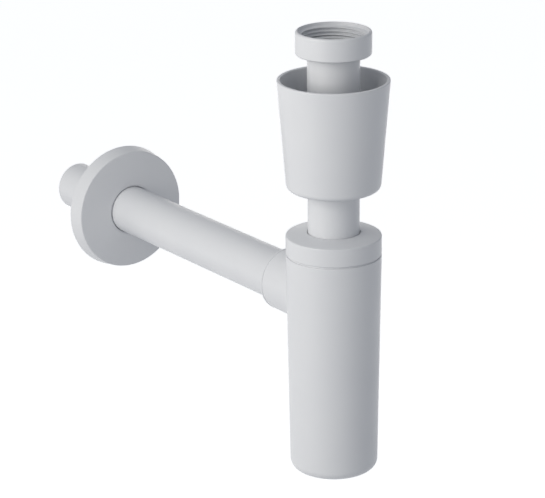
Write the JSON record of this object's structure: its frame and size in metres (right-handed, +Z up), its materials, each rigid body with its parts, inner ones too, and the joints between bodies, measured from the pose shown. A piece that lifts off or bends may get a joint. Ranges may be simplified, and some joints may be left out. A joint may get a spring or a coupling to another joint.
{
  "type": "basin trap",
  "caption": "White dip tube bottle trap for a basin: ring union nut, tapered sliding cover, slim tapered bottle, straight outlet pipe and wall rosette.",
  "frame": {"origin": "on the dip tube's axis, at the top face of the inlet gasket, where the trap meets the basin's waste", "axes": "+Z up along the dip tube, +Y along the outlet pipe towards the wall, +X to the right seen from the room"},
  "size_m": [0.0848, 0.331, 0.2834],
  "materials": {
    "white_pp": "smooth satin moulding",
    "natural_pp": "smooth satin moulding",
    "light_rubber": "matt",
    "black_rubber": "matt"
  },
  "bodies": {
    "inlet": {"dip_tube": "white_pp", "inlet_gasket": "light_rubber"},
    "union_nut": {"union_nut": "white_pp"},
    "tube_cover": {"tube_cover": "white_pp"},
    "height_carriage": {"tube_seal": "black_rubber"},
    "bottle": {"trap_body": "white_pp", "outlet_seal": "black_rubber"},
    "slip_ring": {"slip_ring": "natural_pp"},
    "clamp_nut": {"clamp_nut": "white_pp"},
    "outlet_pipe": {"outlet_pipe": "white_pp"},
    "wall_rosette": {"wall_rosette": "white_pp"}
  },
  "joints": [
    {"name": "union_nut_turn", "type": "hinge", "parent": "inlet", "child": "union_nut", "pos_m": [0, 0, -0.0062], "axis": [0, 0, 1], "continuous": true},
    {"name": "cover_slide", "type": "slide", "parent": "inlet", "child": "tube_cover", "axis": [0, 0, 1], "range_m": [-0.0273, 0.0747]},
    {"name": "height_slide", "type": "slide", "parent": "inlet", "child": "height_carriage", "axis": [0, 0, 1], "range_m": [-0.014, 0.02]},
    {"name": "bottle_swivel", "type": "hinge", "parent": "height_carriage", "child": "bottle", "pos_m": [0, 0, -0.1332], "axis": [0, 0, 1], "continuous": true},
    {"name": "slip_ring_lift", "type": "slide", "parent": "bottle", "child": "slip_ring", "axis": [0, 0, 1], "range_m": [0, 0.0075]},
    {"name": "clamp_nut_turn", "type": "hinge", "parent": "slip_ring", "child": "clamp_nut", "pos_m": [0, 0, -0.1206], "axis": [0, 0, 1], "range_deg": [0, 900]},
    {"name": "pipe_slide", "type": "slide", "parent": "bottle", "child": "outlet_pipe", "axis": [0, 1, 0], "range_m": [-0.0045, 0.006]},
    {"name": "rosette_slide", "type": "slide", "parent": "outlet_pipe", "child": "wall_rosette", "axis": [0, 1, 0], "range_m": [-0.172, 0.05]}
  ],
  "couplings": [
    {"joint": "slip_ring_lift", "follows": "clamp_nut_turn", "m_per_rad": 0.000477}
  ]
}
